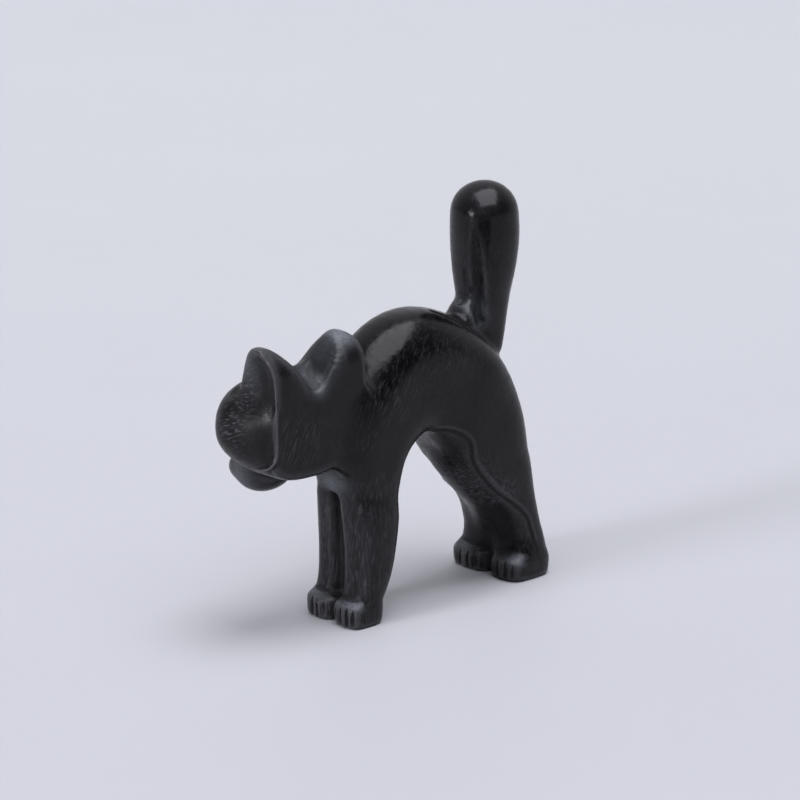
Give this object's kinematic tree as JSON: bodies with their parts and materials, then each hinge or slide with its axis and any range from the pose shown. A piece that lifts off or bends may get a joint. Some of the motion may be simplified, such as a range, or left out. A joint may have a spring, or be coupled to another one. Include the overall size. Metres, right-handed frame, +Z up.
{
  "type": "cat figurine",
  "caption": "Stylised standing cat figurine in burnished black ceramic, back arched, tail straight up, head lowered and turned to its right.",
  "frame": {"origin": "on the table surface, under the middle of the figurine's bounding box", "axes": "+Z up, the cat faces -Y with its tail towards +Y, and its left side is +X"},
  "size_m": [0.0338, 0.1101, 0.119],
  "materials": {
    "black_ceramic": "satin"
  },
  "bodies": {
    "root": {"torso": "black_ceramic", "head": "black_ceramic", "left_ear": "black_ceramic", "right_ear": "black_ceramic", "muzzle": "black_ceramic", "tail": "black_ceramic", "front_left_leg": "black_ceramic", "front_right_leg": "black_ceramic", "hind_left_leg": "black_ceramic", "hind_right_leg": "black_ceramic", "front_left_paw": "black_ceramic", "front_right_paw": "black_ceramic", "hind_left_paw": "black_ceramic", "hind_right_paw": "black_ceramic"}
  },
  "joints": []
}
